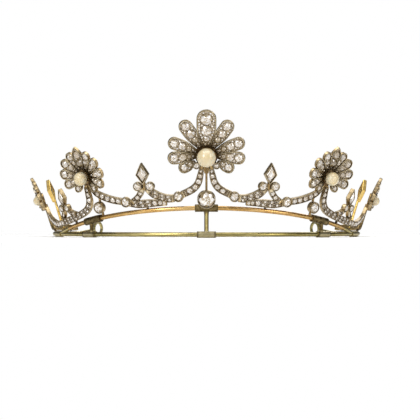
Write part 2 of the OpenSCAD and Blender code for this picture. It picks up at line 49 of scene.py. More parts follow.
# the rails, and the leaning spray above them
rail = {"radius": 72, "rise": 11.4, "join": 68, "z": 1.4, "flare": 18, "centreY": 19.7}
joinHalf = rail["radius"] * math.sin(math.radians(rail["join"]))
joinY = -rail["radius"] * math.cos(math.radians(rail["join"]))
slant = math.hypot(rail["radius"] + joinY, rail["rise"])
tilt = math.atan2(rail["rise"], rail["radius"] + joinY)
arcRadius = (joinHalf ** 2 + slant ** 2) / (2 * slant)


def railPoint(psi):  # the upper rail as far as it goes, then the lower
    p = math.radians(psi)
    x = rail["radius"] * math.sin(p)
    if abs(psi) < rail["join"]:
        a = math.asin(x / arcRadius)
        v = slant - arcRadius * (1 - math.cos(a))
        return Vector((arcRadius * math.sin(a), joinY - v * math.cos(tilt) + rail["centreY"],
                       rail["z"] + v * math.sin(tilt)))
    return Vector((x, rail["centreY"] - rail["radius"] * math.cos(p), rail["z"]))


def sprayAxes(s):  # along the rail, up the spray and out from it
    p, f = s / rail["radius"], math.radians(rail["flare"])
    x, y, lean, rise = math.sin(p), -math.cos(p), math.sin(f), math.cos(f)
    return (Vector((-y, x, 0)), Vector((x * lean, y * lean, rise)),
            Vector((x * rise, y * rise, -lean)))


def onSpray(s, h, w=0.0):
    along, up, out = sprayAxes(s)
    m = Matrix((along, up, out)).transposed().to_4x4()
    m.translation = railPoint(math.degrees(s / rail["radius"])) + h * up + w * out
    return m


def shift(x, y, z=0.0):
    return Matrix.Translation((x, y, z))


def circlePoint(r, i, steps):
    angle = 2 * math.pi * i / steps
    return r * math.cos(angle), r * math.sin(angle)


def addObject(name, data):
    made = bpy.data.objects.new(name, data)
    scene.collection.objects.link(made)
    return made


def meshFrom(name, work):
    mesh = bpy.data.meshes.new(name)
    work.to_mesh(mesh)
    work.free()
    return mesh


here = Matrix.Identity(4)  # for rings of points that have their place already


class Shape:  # rings of points, with a finish for each strip of faces between them
    def __init__(self):
        self.points, self.shades, self.faces, self.finish = [], [], [], []
        self.finishes = []

    def ring(self, place, loop, shadeAt=None):
        start = len(self.points)
        self.points += [place @ Vector(p) for p in loop]
        self.shades += [shadeAt(*p) if shadeAt else 1.0 for p in loop]
        return list(range(start, len(self.points)))

    def face(self, corners, finish):
        if finish not in self.finishes:
            self.finishes.append(finish)
        self.faces.append(corners)
        self.finish.append(self.finishes.index(finish))

    def bridge(self, a, b, finishes):  # one finish for each face of the strip
        for i, finish in enumerate(finishes):
            j = (i + 1) % len(a)
            self.face([a[i], a[j], b[j], b[i]], finish)

    def closeEnds(self, rings, first, last):
        self.face(rings[0][::-1], first)
        self.face(rings[-1], last)

    def sweep(self, rings, finish, firstFinish=None):  # a skin over rings, closed at both ends
        for a, b in zip(rings, rings[1:]):
            self.bridge(a, b, [finish] * len(a))
        self.closeEnds(rings, firstFinish or finish, finish)

    # levels of (inset, height, finish below it)
    def loft(self, place, levels, outline, caps, shadeAt=None):
        rings = [self.ring(place, [(x, y, z) for x, y in outline(inset)], shadeAt)
                 for inset, z, finish in levels]
        for a, b, level in zip(rings, rings[1:], levels[1:]):
            self.bridge(a, b, [level[2]] * len(a))
        if caps:
            self.closeEnds(rings, *caps)
        else:
            self.bridge(rings[-1], rings[0], [levels[0][2]] * len(rings[0]))

    def make(self, name, side, smooth=32):  # side is -1 for a left piece, and 1 otherwise
        mesh = bpy.data.meshes.new(name)
        mesh.from_pydata([(side * p.x * mm, p.y * mm, p.z * mm) for p in self.points],
                         [], [f[::side] for f in self.faces])
        for finish in self.finishes:
            mesh.materials.append(materials[finish])
        mesh.polygons.foreach_set("material_index", self.finish)
        mesh.attributes.new("shade", "FLOAT", "POINT").data.foreach_set("value", self.shades)
        work = bmesh.new()
        work.from_mesh(mesh)
        bmesh.ops.remove_doubles(work, verts=work.verts, dist=1e-7)
        bmesh.ops.recalc_face_normals(work, faces=work.faces)
        work.to_mesh(mesh)
        work.free()
        mesh.shade_smooth()
        mesh.set_sharp_from_angle(angle=math.radians(smooth))
        return addObject(name, mesh)


def circleOutline(radius, steps=28):
    return lambda inset: [circlePoint(radius - inset, i, steps) for i in range(steps)]


# a lozenge with so much more round its stone
def lozengeOutline(size, across, along, steps=4, bow=0.03):
    half, above, below = size["half"] + across, size["above"] + along, size["below"] + along

    def outline(inset):
        k = inset / half
        corners = [(half - inset, 0), (0, above * (1 - k)), (inset - half, 0), (0, below * (k - 1))]
        loop = []
        for (x0, y0), (x1, y1) in zip(corners, corners[1:] + corners[:1]):
            for t in (i / steps for i in range(steps)):
                full = 1 + bow * math.sin(math.pi * t)  # sides a little full, as filed
                loop.append(((x0 + (x1 - x0) * t) * full, (y0 + (y1 - y0) * t) * full))
        return loop
    return outline


def tube(shape, start, end, r0, r1, finish, steps=14):
    axis = (end - start).normalized()
    side = axis.orthogonal().normalized()
    other = axis.cross(side)
    turns = [circlePoint(1, i, steps) for i in range(steps)]
    shape.sweep([shape.ring(here, [at + r * (x * side + y * other) for x, y in turns])
                 for at, r in ((start, r0), (end, r1))], finish)


class Wire:  # an output of a node, so that sums on it are written as sums
    def __init__(self, nodes, socket):
        self.nodes, self.socket = nodes, socket

    def __add__(self, other):
        return self.nodes.maths("ADD", self, other)

    def __radd__(self, other):
        return self.nodes.maths("ADD", other, self)

    def __sub__(self, other):
        return self.nodes.maths("SUBTRACT", self, other)

    def __rsub__(self, other):
        return self.nodes.maths("SUBTRACT", other, self)

    def __mul__(self, other):
        return self.nodes.maths("MULTIPLY", self, other)

    def __rmul__(self, other):
        return self.nodes.maths("MULTIPLY", other, self)


class Nodes:  # the nodes of one tree
    def __init__(self, tree):
        self.tree = tree

    def add(self, kind, settings=None, values=None):
        made = self.tree.nodes.new(kind)
        for key, value in (settings or {}).items():
            if key == "stops":
                while len(made.color_ramp.elements) < len(value):
                    made.color_ramp.elements.new(0.5)
                for element, (at, colour) in zip(made.color_ramp.elements, value):
                    element.position, element.color = at, (*colour, 1)
            else:
                setattr(made, key, value)
        for key, value in (values or {}).items():
            self.give(made.inputs[key], value)
        return made

    def give(self, socket, value):
        if isinstance(value, Wire):
            self.tree.links.new(value.socket, socket)
        else:
            socket.default_value = (*value, 1) if socket.type == "RGBA" else value

    def wire(self, kind, output, settings=None, values=None):
        return Wire(self, self.add(kind, settings, values).outputs[output])

    def maths(self, kind, a, b=0.0):
        return self.wire("ShaderNodeMath", 0, {"operation": kind}, {0: a, 1: b})

    def ramp(self, value, stops):
        return self.wire("ShaderNodeValToRGB", 0, {"stops": stops}, {"Fac": value})

    def step(self, value, low, high, start=0.0, end=1.0):
        return self.wire("ShaderNodeMapRange", 0, {"interpolation_type": "SMOOTHSTEP"}, {
            "Value": value, "From Min": low, "From Max": high, "To Min": start, "To Max": end})

    def mix(self, a, b, factor):
        return self.wire("ShaderNodeMix", 2, {"data_type": "RGBA"}, {0: factor, 6: a, 7: b})

    def split(self, vector):
        made = self.add("ShaderNodeSeparateXYZ", {}, {0: vector})
        return [Wire(self, output) for output in made.outputs]


class Paint(Nodes):  # the nodes of one material
    def __init__(self, name, **constants):
        self.material = bpy.data.materials.new(name)
        self.material.use_nodes = True
        super().__init__(self.material.node_tree)
        self.tree.nodes.clear()
        self.shader = self.add("ShaderNodeBsdfPrincipled")
        self.add("ShaderNodeOutputMaterial", {}, {0: Wire(self, self.shader.outputs[0])})
        self.set(**constants)

    def set(self, **values):
        for key, value in values.items():
            self.give(self.shader.inputs[key.replace("_", " ")], value)
        return self.material

    def place(self):
        return self.wire("ShaderNodeTexCoord", "Object")

    def noise(self, scale, detail=3.0, vector=None):
        return self.wire("ShaderNodeTexNoise", "Fac", {}, {
            "Vector": vector or self.place(), "Scale": scale, "Detail": detail,
            "Roughness": 0.55})

    def join(self, x, y, z):
        return self.wire("ShaderNodeCombineXYZ", 0, {}, {0: x, 1: y, 2: z})

    def bump(self, height, distance, strength):
        return self.wire("ShaderNodeBump", 0, {}, {
            "Height": height, "Distance": distance, "Strength": strength})

    def attribute(self, name):
        return self.wire("ShaderNodeAttribute", "Fac", {"attribute_name": name})


def aroundFrame(paint):  # length along the rail, distance from the middle, and height
    x, y, z = paint.split(paint.place())
    front = rail["centreY"] * mm - y
    radius = paint.maths("SQRT", x * x + front * front)
    return paint.maths("ARCTAN2", x, front) * (rail["radius"] * mm), radius, z


def drawnGold(name, dark, middle, light, dirt, warm):
    paint = Paint(name, Metallic=1.0)
    along, radius, z = aroundFrame(paint)
    streaks = paint.noise(1.0, 2.0, paint.join(along * 60.0, radius * 2600.0, z * 2600.0))
    patches = paint.noise(1.0, 3.0, paint.join(along * 130.0, radius * 160.0, z * 160.0))
    specks = paint.noise(1800.0, 2.0)
    broad = paint.noise(1.0, 1.0, paint.join(along * 14.0, 0.0, 0.0))
    tone = paint.step(streaks * 0.5 + patches * 0.3 + broad * 0.2, 0.3, 0.7)
    colour = paint.ramp(tone, [(0.1, dark), (0.5, middle), (0.9, light)])
    grime = paint.step(specks + patches * 0.35, 0.78, 0.95)
    colour = paint.mix(colour, dirt, grime * 0.6)
    colour = paint.mix(colour, warm, paint.step(broad, 0.3, 0.7, 0.0, 0.35))
    return paint.set(Base_Color=colour, Roughness=0.2 + patches * 0.16 + grime * 0.2,
                     Normal=paint.bump(streaks, 0.00006, 0.5))


# dark sleeve above, gold post with painted shade down its sides, pale sleeve below with a dark ring
# near each end
def sleeveMetal(name, sleeveZ, middle, half=4.0):
    paint = Paint(name, Metallic=1.0)
    along, _, z = aroundFrame(paint)
    off = paint.maths("ABSOLUTE", paint.maths("ABSOLUTE", along) - middle * mm)
    cloud = paint.noise(700.0, 4.0)
    fine = paint.noise(2600.0, 2.0)
    post = paint.ramp(cloud, [(0.3, (0.46, 0.36, 0.12)), (0.7, (0.78, 0.66, 0.28))])
    # painted shade: the post darkens toward its sides, which leaves a painted highlight streak down
    # its middle
    post = paint.mix(post, (0.07, 0.04, 0.012), paint.step(off, 0.00012, 0.00055, 0.0, 0.92))
    pale = paint.ramp(cloud, [(0.3, (0.38, 0.32, 0.17)), (0.7, (0.62, 0.55, 0.34))])
    dark = paint.ramp(cloud, [(0.35, (0.07, 0.05, 0.018)), (0.7, (0.27, 0.20, 0.09))])
    ends = paint.step(off, (half - 0.7) * mm, (half - 0.5) * mm)
    ends = ends * paint.step(off, (half - 0.2) * mm, half * mm, 1.0, 0.5)
    pale = paint.mix(pale, (0.10, 0.07, 0.03), ends * 0.85)
    high = paint.step(z + cloud * 0.0008, (sleeveZ - 2.6) * mm, (sleeveZ - 1.2) * mm)
    low = paint.step(z, 0.0027, 0.0032, 1.0, 0.0)
    colour = paint.mix(paint.mix(post, pale, low), dark, high)
    return paint.set(Base_Color=colour, Roughness=0.3 + high * 0.12 + cloud * 0.12,
                     Normal=paint.bump(fine, 0.00005, 0.4))


def castMetal(name, dark, light, rough, scale=1500.0):
    paint = Paint(name, Metallic=1.0)
    cloud = paint.noise(scale * 0.35)
    fine = paint.noise(scale * 1.6, 2.0)
    tone = paint.ramp(cloud * 0.7 + fine * 0.3, [(0.35, dark), (0.65, light)])
    # painted shade: the colour goes toward paintedShade where the point's shade attribute is low
    return paint.set(Base_Color=paint.mix(paintedShade, tone, paint.attribute("shade")),
                     Roughness=rough + fine * 0.18, Normal=paint.bump(fine, 0.00005, 0.5))


def cutDiamond(name, stops):
    paint = Paint(name, Metallic=0.0, IOR=2.1)
    # painted reflections: each facet's stored tone and a Voronoi glint pick a colour from the ramp
    inside = paint.wire("ShaderNodeTexVoronoi", "Color", {"feature": "F1"}, {
        "Vector": paint.place(), "Scale": 1900.0})
    glint = paint.split(inside)[0]
    level = paint.attribute("tone") * 0.8 + glint * 0.16
    return paint.set(Base_Color=paint.ramp(level, stops), Roughness=0.05 + glint * 0.08)


def pearlNacre(name):
    paint = Paint(name, Coat_Weight=0.3, Coat_Roughness=0.14, Subsurface_Weight=0.2,
                  Subsurface_Radius=(0.8, 0.6, 0.45), Subsurface_Scale=0.0008, IOR=1.6)
    cloud = paint.noise(260.0, 2.0)
    fine = paint.noise(1500.0)
    colour = paint.ramp(cloud, [(0.3, (0.66, 0.53, 0.29)), (0.52, (0.70, 0.60, 0.40)),
                                (0.72, (0.64, 0.61, 0.47))])
    return paint.set(Base_Color=colour, Roughness=0.24 + fine * 0.12,
                     Normal=paint.bump(fine, 0.00002, 0.3))


# the colour of the painted shade toward the pearl
paintedShade = (0.05, 0.03, 0.01)
drawnFinishes = {  # dark, middle and light gold, the dirt on it, and its warmer stretches
    "upperGold": ((0.36, 0.19, 0.06), (0.62, 0.38, 0.14), (0.66, 0.46, 0.22),
                  (0.18, 0.10, 0.04), (0.60, 0.42, 0.12)),
    "lowerGold": ((0.20, 0.17, 0.055), (0.40, 0.34, 0.13), (0.60, 0.53, 0.26),
                  (0.15, 0.12, 0.04), (0.55, 0.42, 0.16)),
}
castFinishes = {  # dark and light tones, roughness, and the grain's scale if not 1500
    "brightRim": ((0.27, 0.21, 0.12), (0.74, 0.63, 0.43), 0.25),
    "petalRim": ((0.40, 0.31, 0.16), (0.88, 0.76, 0.53), 0.18),
    "greyWall": ((0.045, 0.036, 0.018), (0.16, 0.13, 0.075), 0.3),
    "recess": ((0.07, 0.045, 0.02), (0.50, 0.40, 0.25), 0.35, 2200.0),
    "goldBack": ((0.62, 0.38, 0.08), (0.90, 0.66, 0.24), 0.24, 900.0),
    "gildedSide": ((0.22, 0.16, 0.08), (0.64, 0.50, 0.29), 0.3),
    "joint": ((0.16, 0.10, 0.04), (0.50, 0.36, 0.17), 0.3),
    # root: painted shade round the pearl, and the dark seam bars between band stones
    "root": ((0.05, 0.03, 0.015), (0.24, 0.15, 0.07), 0.35),
    "darkPost": ((0.02, 0.015, 0.012), (0.12, 0.08, 0.04), 0.35),
}
# the painted reflections of the opaque stones, from dark facets to white glints
paintedDiamondReflections = [
    (0.0, (0.035, 0.022, 0.008)), (0.14, (0.14, 0.09, 0.04)), (0.28, (0.28, 0.21, 0.11)),
    (0.42, (0.40, 0.32, 0.20)), (0.56, (0.56, 0.46, 0.34)), (0.70, (0.63, 0.62, 0.62)),
    (0.84, (0.86, 0.80, 0.70)), (0.93, (0.93, 0.94, 0.95)), (1.0, (1.0, 0.99, 0.96))]

materials = {name: drawnGold(name, *tones) for name, tones in drawnFinishes.items()}
materials.update({name: castMetal(name, *tones) for name, tones in castFinishes.items()})
materials["centreSleeve"] = sleeveMetal("centreSleeve", 12.8, 0)
materials["sideSleeve"] = sleeveMetal("sideSleeve", 7.5, 57.8)
materials["diamond"] = cutDiamond("diamond", paintedDiamondReflections)
materials["pearl"] = pearlNacre("pearl")
print("materials made:", len(materials))


# a stone of unit radius that stands on height 0, with painted reflections: light on its table and
# dark at its girdle
def brilliant(name, fine):
    work = bmesh.new()
    facet = work.faces.layers.float.new("facet")

    def ring(count, r, z, turn=0.0):
        return [work.verts.new((*circlePoint(r, i + turn, count), z)) for i in range(count)]

    def face(corners, light):
        work.faces.new(corners)[facet] = light

    table = ring(8, 0.52, 0.6)
    if fine:
        culet = ring(8, 0.13, 0.6, 0.5)
        star = ring(8, 0.76, 0.42, 0.5)
        girdle = ring(16, 1.0, 0.18)
        low = ring(16, 1.0, 0.12)
        base = ring(8, 0.72, 0.0)
        face(culet, 0.15)
        for i in range(8):
            j, k = (i + 1) % 8, (i - 1) % 8
            a, b, c = 2 * i, 2 * i + 1, (2 * i + 2) % 16
            face((table[i], table[j], culet[i]), 0.66)
            face((culet[k], table[i], culet[i]), 0.84)
            face((table[i], star[i], table[j]), 0.92)
            face((table[i], star[k], girdle[a], star[i]), 0.68)
            face((star[i], girdle[a], girdle[b]), 0.35)
            face((star[i], girdle[b], girdle[c]), 0.5)
            face((base[i], low[a], low[b]), 0.1)
            face((base[i], low[b], low[c], base[j]), 0.1)
        for i in range(16):
            j = (i + 1) % 16
            face((girdle[i], low[i], low[j], girdle[j]), 0.15)
    else:
        girdle = ring(8, 1.0, 0.16, 0.5)
        base = ring(8, 0.75, 0.0, 0.5)
        face(table, 0.9)
        for i in range(8):
            j, k = (i + 1) % 8, (i - 1) % 8
            face((table[i], girdle[i], table[j]), 0.5)
            face((table[i], girdle[k], girdle[i]), 0.65)
            face((girdle[i], base[i], base[j], girdle[j]), 0.1)
    face(base, 0.1)
    bmesh.ops.recalc_face_normals(work, faces=work.faces)
    template = addObject(name, meshFrom(name, work))
    template.hide_render = True
    return template


largeCut, smallCut = brilliant("largeCut", True), brilliant("smallCut", False)


def buildStoneTree():
    tree = bpy.data.node_groups.new("stonesInSettings", "GeometryNodeTree")
    for way, name, kind in (("INPUT", "Geometry", "Geometry"), ("INPUT", "Stone", "Object"),
                            ("INPUT", "Stone Material", "Material"), ("INPUT", "Size", "Float"),
                            ("INPUT", "Seed", "Int"), ("OUTPUT", "Geometry", "Geometry")):
        tree.interface.new_socket(name, in_out=way, socket_type="NodeSocket" + kind)
    graph = Nodes(tree)
    source = {made.name: Wire(graph, made) for made in graph.add("NodeGroupInput").outputs}

    def named(name, kind="FLOAT"):
        return graph.wire("GeometryNodeInputNamedAttribute", "Attribute", {"data_type": kind},
                          {"Name": name})

    def chance(low, high):
        return graph.wire("FunctionNodeRandomValue", 1, {"data_type": "FLOAT"}, {
            2: low, 3: high, "Seed": source["Seed"]})

    aligned = graph.wire("FunctionNodeAlignRotationToVector", 0, {"axis": "Z"},
                         {"Vector": named("facing", "FLOAT_VECTOR")})
    spin = graph.wire("ShaderNodeCombineXYZ", 0, {}, {2: chance(0.0, 6.283)})
    rotation = graph.wire("FunctionNodeRotateRotation", 0, {"rotation_space": "LOCAL"}, {
        0: aligned, 1: graph.wire("FunctionNodeEulerToRotation", 0, {}, {0: spin})})
    stone = graph.wire("GeometryNodeObjectInfo", "Geometry", {}, {"Object": source["Stone"]})
    placed = graph.wire("GeometryNodeInstanceOnPoints", 0, {}, {
        "Points": source["Geometry"], "Instance": stone, "Rotation": rotation,
        "Scale": named("radius") * source["Size"]})
    real = graph.wire("GeometryNodeRealizeInstances", 0, {}, {0: placed})
    # each facet's painted reflection, varied at random and scaled by the stone's shade
    varied = named("facet") + chance(-0.42, 0.36)
    tone = graph.wire("ShaderNodeMath", 0, {"operation": "MULTIPLY", "use_clamp": True}, {
        0: varied, 1: named("shade")})
    stored = graph.wire("GeometryNodeStoreNamedAttribute", 0,
                        {"data_type": "FLOAT", "domain": "FACE"},
                        {"Geometry": real, "Name": "tone", "Value": tone})
    finished = graph.wire("GeometryNodeSetMaterial", 0, {}, {
        "Geometry": stored, "Material": source["Stone Material"]})
    graph.add("NodeGroupOutput", {}, {0: finished})
    return tree


def madeByTree(name, points, tree, values, attributes):
    mesh = bpy.data.meshes.new(name)
    mesh.from_pydata([tuple(mm * c for c in p) for p in points], [], [])
    for key, rows in attributes.items():
        vectors = hasattr(rows[0], "__len__")
        made = mesh.attributes.new(key, "FLOAT_VECTOR" if vectors else "FLOAT", "POINT")
        made.data.foreach_set("vector" if vectors else "value", np.ravel(rows))
    carrier = addObject(name + "Points", mesh)
    modifier = carrier.modifiers.new("nodes", "NODES")
    modifier.node_group = tree
    names = {item.name: item.identifier for item in tree.interface.items_tree
             if item.in_out == "INPUT"}
    for key, value in values.items():
        modifier[names[key]] = value
    bpy.context.view_layer.update()
    evaluated = carrier.evaluated_get(bpy.context.evaluated_depsgraph_get())
    plain = bpy.data.meshes.new_from_object(evaluated)
    plain.name = name
    carrier.modifiers.clear()
    bpy.data.objects.remove(carrier)
    return addObject(name, plain)


stoneTree = buildStoneTree()


class Field:  # the stones that a setting holds, by place, radius and facing
    def __init__(self):
        self.large, self.small = [], []

    # light dims the stone's painted reflections, and carries a petal's painted shade
    def stone(self, place, r, light=1.0):
        facing = (place.to_3x3() @ Vector((0, 0, 1))).normalized()
        group = self.large if r > fill["largest"] else self.small
        group.append((place.translation.copy(), r, facing, light))


# small stones fill the room that the main ones leave
fill = {"largest": 0.62, "smallest": 0.24, "gap": 0.03, "pitch": 0.16, "raised": 0.6}


def fillStones(edge, placed, largest, smallest):
    # the roomiest spot gets the next stone, until none is roomy enough
    corners = np.array(edge)
    following = np.roll(corners, -1, axis=0)
    xs = np.arange(corners[:, 0].min(), corners[:, 0].max(), fill["pitch"])
    ys = np.arange(corners[:, 1].min(), corners[:, 1].max(), fill["pitch"])
    spots = np.array(np.meshgrid(xs, ys)).reshape(2, -1).T
    inside = np.zeros(len(spots), bool)
    room = np.full(len(spots), 1e9)
    for a, b in zip(corners, following):
        run = b - a
        share = np.clip(((spots - a) @ run) / max(run @ run, 1e-12), 0, 1)
        room = np.minimum(room, np.linalg.norm(spots - a - share[:, None] * run, axis=1))
        crossed = (a[1] > spots[:, 1]) != (b[1] > spots[:, 1])
        if a[1] != b[1]:
            at = a[0] + (spots[:, 1] - a[1]) * run[0] / run[1]
            inside ^= crossed & (spots[:, 0] < at)
    room[~inside] = 0
    for x, y, r in placed:
        room = np.minimum(room, np.linalg.norm(spots - (x, y), axis=1) - r)
    found = []
    while room.max() > smallest + fill["gap"]:
        best = np.argmax(np.minimum(room, largest + fill["gap"]))
        x, y, r = *spots[best], min(room[best] - fill["gap"], largest)
        found.append((float(x), float(y), float(r)))
        room = np.minimum(room, np.linalg.norm(spots - (x, y), axis=1) - r)
    return found


def lifted(level, r, share):  # small stones stand nearly as high as the large
    return level + share * max(0, fill["raised"] - r)


def sideOf(ending):
    return -1 if ending == "Left" else 1


def mirrored(v, ending):
    return Vector((sideOf(ending) * v.x, v.y, v.z))


def standsFor(piece, node, ending):
    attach(piece, "root")
    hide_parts(f"{node}_{ending.lower()}" if ending else node)


def joinPieces(name, parts):
    bpy.ops.object.select_all(action="DESELECT")
    for part in parts:
        part.select_set(True)
    bpy.context.view_layer.objects.active = parts[0]
    if len(parts) > 1:
        bpy.ops.object.join()
    parts[0].name = name
    parts[0].data.name = name
    return parts[0]


def stonesPiece(name, field, ending, seed, node):
    parts = []
    for label, group, template in (("Large", field.large, largeCut),
                                   ("Small", field.small, smallCut)):
        if group:
            points, radii, facings, lights = zip(*group)
            parts.append(madeByTree(
                name + ending + label, [mirrored(p, ending) for p in points], stoneTree,
                {"Stone": template, "Stone Material": materials["diamond"], "Size": 1.0,
                 "Seed": seed + sideOf(ending)},
                {"radius": [mm * r for r in radii], "shade": lights,
                 "facing": [mirrored(f, ending) for f in facings]}))
    standsFor(joinPieces(name + ending, parts), node, ending)


def mountPiece(name, shape, ending, node):
    standsFor(shape.make(name + ending, sideOf(ending)), node, ending)


setting = {"rim": 0.4, "gap": 0.1, "floor": 0.7, "spread": 0.16}  # spread: stones reach into rims


def colletShape(shape, place, r, back, top, floor=None):
    levels = [(0.14, back, "goldBack"), (0.02, back + 0.3, "gildedSide"),
              (0.0, top - 0.3, "gildedSide"), (0.08, top - 0.04, "greyWall"),
              (0.12, top, "brightRim"), (0.26, top - 0.03, "brightRim"),
              (0.3, top - 0.25, "brightRim"), (0.3, back if floor is None else floor, "recess")]
    shape.loft(place, levels, circleOutline(r + setting["gap"] + setting["rim"]),
               None if floor is None else ("goldBack", "recess"))


def petal(angle, start, length, tip, base, fill, stones, full=0.7, pointed=False, clean=1.12):
    return {"angle": angle, "start": start, "length": length, "tip": tip, "base": base,
            "fill": fill, "stones": stones, "full": full, "pointed": pointed, "clean": clean}


centrePetals = [
    petal(0, 6.2, 10.2, 4.2, 2.3, 0.68, 3, clean=2.2), petal(34, 5.7, 10.2, 2.95, 1.5, 0.78, 4),
    petal(67, 5.5, 9.4, 2.75, 1.3, 0.8, 4), petal(93, 5.5, 8.4, 2.75, 1.2, 0.8, 4),
    petal(118, 6.3, 4.5, 2.5, 1, 0.8, 2)]

sidePetals = [
    petal(0, 3.6, 11, 3.1, 0, 0.8, 2, 0.5, True), petal(27, 4.6, 6.4, 2.3, 0.95, 0.9, 2, 0.96),
    petal(54, 4.6, 6.8, 2.4, 0.95, 0.88, 2, 0.96), petal(80, 4.6, 6.8, 2.4, 0.95, 0.88, 2, 0.96),
    petal(105, 4.6, 5.9, 2.25, 0.95, 0.9, 2, 0.96), petal(134, 4.7, 2.6, 1.7, 1, 0.92, 1)]


def scaledPetals(petals, k):
    return [p | {key: k * p[key] for key in ("start", "length", "tip", "base")} for p in petals]


sides = ("Left", "Right")
# s along the rail, h up and w out from it, and the tilt of the petals
flowers = {
    "centre": {"s": 0, "h": 23.6, "w": 0.4, "cup": 7, "pearl": 8.1, "pearlZ": 4.2,
               "petals": centrePetals, "endings": [""], "light": 1.0, "small": 0.95, "seed": 2},
    "side": {"s": 53.4, "h": 19.6, "w": 0.4, "cup": 9, "pearl": 6.1, "pearlZ": 3.2,
             "petals": sidePetals, "endings": sides, "light": 0.9, "small": 0.68, "seed": 11},
    "end": {"s": 102, "h": 17, "w": 0.4, "cup": 9, "pearl": 4.5, "pearlZ": 2.4,
            "petals": scaledPetals(sidePetals, 0.78), "endings": sides, "light": 0.9,
            "small": 0.68, "seed": 11},
}

petalLevels = [(0.12, 0.0, "goldBack"), (0.0, 0.16, "gildedSide"), (0.0, 1.32, "gildedSide"),
               (0.12, 1.44, "greyWall"), (0.17, 1.5, "greyWall"), (0.33, 1.5, "petalRim"),
               (0.39, 1.38, "petalRim"), (0.42, 0.95, "recess")]
pointedFirst = 0.66  # how far along a pointed petal its large stone sits


def ovalHalf(y, length, half):
    r = (length ** 2 / 4 + half ** 2) / (2 * half)
    return math.sqrt(max(0, r * r - (y - length / 2) ** 2)) - r + half


def petalHalf(p, y):
    if p["pointed"]:
        return ovalHalf(y, p["length"], p["tip"])
    swell = math.sin(math.pi / 2 * min(1, y / (p["full"] * p["length"])))
    return p["base"] + (p["tip"] - p["base"]) * swell


def petalOutline(p, oval=12, flanks=8, turns=16):  # the steps in its stretches
    def outline(inset):
        if p["pointed"]:
            end = inset * p["length"] / (2 * p["tip"])
            length, half = p["length"] - 2 * end, p["tip"] - inset
            ys = [length * (1 - math.cos(math.pi * i / oval)) / 2 for i in range(oval + 1)]
            return ([(ovalHalf(y, length, half), y + end) for y in ys]
                    + [(-ovalHalf(y, length, half), y + end) for y in ys[-2:0:-1]])
        tip, base, length = p["tip"] - inset, p["base"] - inset, p["length"]
        ys = [p["full"] * length * i / flanks for i in range(flanks + 1)]
        side = [(petalHalf(p, y) - inset, y) for y in ys]
        arc = [math.pi * i / turns for i in range(turns + 1)]
        return (side + [(tip * math.cos(a), length + tip * math.sin(a)) for a in arc]
                + [(-x, y) for x, y in reversed(side)]
                + [(-base * math.cos(a), -base * math.sin(a)) for a in arc[2:-1:2]])
    return outline


def petalStoneRadius(p, y):
    return p["fill"] * (petalHalf(p, y) - setting["rim"] - setting["gap"])


def petalStones(p):
    y = p["length"] * (pointedFirst if p["pointed"] else 1)
    r = petalStoneRadius(p, y)
    found = []
    for i in range(p["stones"]):
        found.append((y, r))
        following = petalStoneRadius(p, max(0, y - 2 * r - setting["gap"]))
        y -= r + following + 1.5 * setting["gap"]
        r = following
    return found


def petalShade(p, y):  # painted shade, darker toward the pearl
    return min(1, max(0.05, p["clean"] * y / p["length"] - 0.04))


def petalPlaces(home, flower):
    for p in flower["petals"]:
        for turn in ([-1, 1] if p["angle"] else [1]):
            place = (home @ Matrix.Rotation(math.radians(-turn * p["angle"]), 4, "Z")
                     @ shift(0, p["start"]) @ Matrix.Rotation(math.radians(flower["cup"]), 4, "X"))
            yield p, place


def addPetalField(field, p, place, flower):
    large = [(0.0, y, r) for y, r in petalStones(p)]
    edge = petalOutline(p)(setting["rim"] - 0.02)
    level = setting["floor"] + setting["gap"]
    for x, y, r in large + fillStones(edge, large, fill["largest"], fill["smallest"]):
        light = flower["light" if r > fill["largest"] else "small"]
        # the stones get the petal's painted shade as well
        field.stone(place @ shift(x, y, lifted(level, r, 0.55)), r,
                    light * petalShade(p, y + p["base"]))


def flowerPieces(flower):
    shape, field = Shape(), Field()
    home = onSpray(flower["s"], flower["h"], flower["w"])
    for p, place in petalPlaces(home, flower):
        # painted shade on each petal, darker toward the pearl
        shape.loft(place, petalLevels, petalOutline(p), ("goldBack", "recess"),
                   lambda x, y, z, p=p: petalShade(p, y + p["base"]))
        addPetalField(field, p, place, flower)
    hub = 0.86 * flower["petals"][1]["start"]
    # the hub's top round the pearl is root, a painted shade
    shape.loft(home, [(0.15, -0.7, "goldBack"), (0.0, -0.55, "joint"), (0.0, 0.5, "joint"),
                      (0.35, 0.8, "root"), (0.45 * hub, 0.55, "root")],
               circleOutline(hub), ("goldBack", "root"))
    pearl, z = flower["pearl"], flower["pearlZ"]
    cup = 0.36 * pearl
    shape.loft(home, [(0.0, 0.3, "joint"), (0.0, 0.9, "joint"),
                      (-0.25 * cup, z - cup, "joint"),
                      (-0.15 * cup, z - 0.35 * pearl, "joint"),
                      (0.2 * cup, 0.75, "recess")], circleOutline(cup), ("joint", "recess"))
    return home, shape, field


def pearlPieces(label, flower, home):
    centre = home @ Vector((0, 0, flower["pearlZ"]))
    for ending in flower["endings"]:
        work = bmesh.new()
        bmesh.ops.create_icosphere(work, subdivisions=4, radius=flower["pearl"] / 2)
        for v in work.verts:  # never quite round
            v.co *= 0.994 + 0.006 * noise.noise(v.co * 0.4 + Vector((sideOf(ending), 3, 7)))
        mesh = meshFrom(label, work)
        mesh.transform(Matrix.Scale(mm, 4) @ Matrix.Translation(mirrored(centre, ending)))
        mesh.materials.append(materials["pearl"])
        mesh.shade_smooth()
        standsFor(addObject(label + "Pearl" + ending, mesh), f"{label}_flower_pearl", ending)


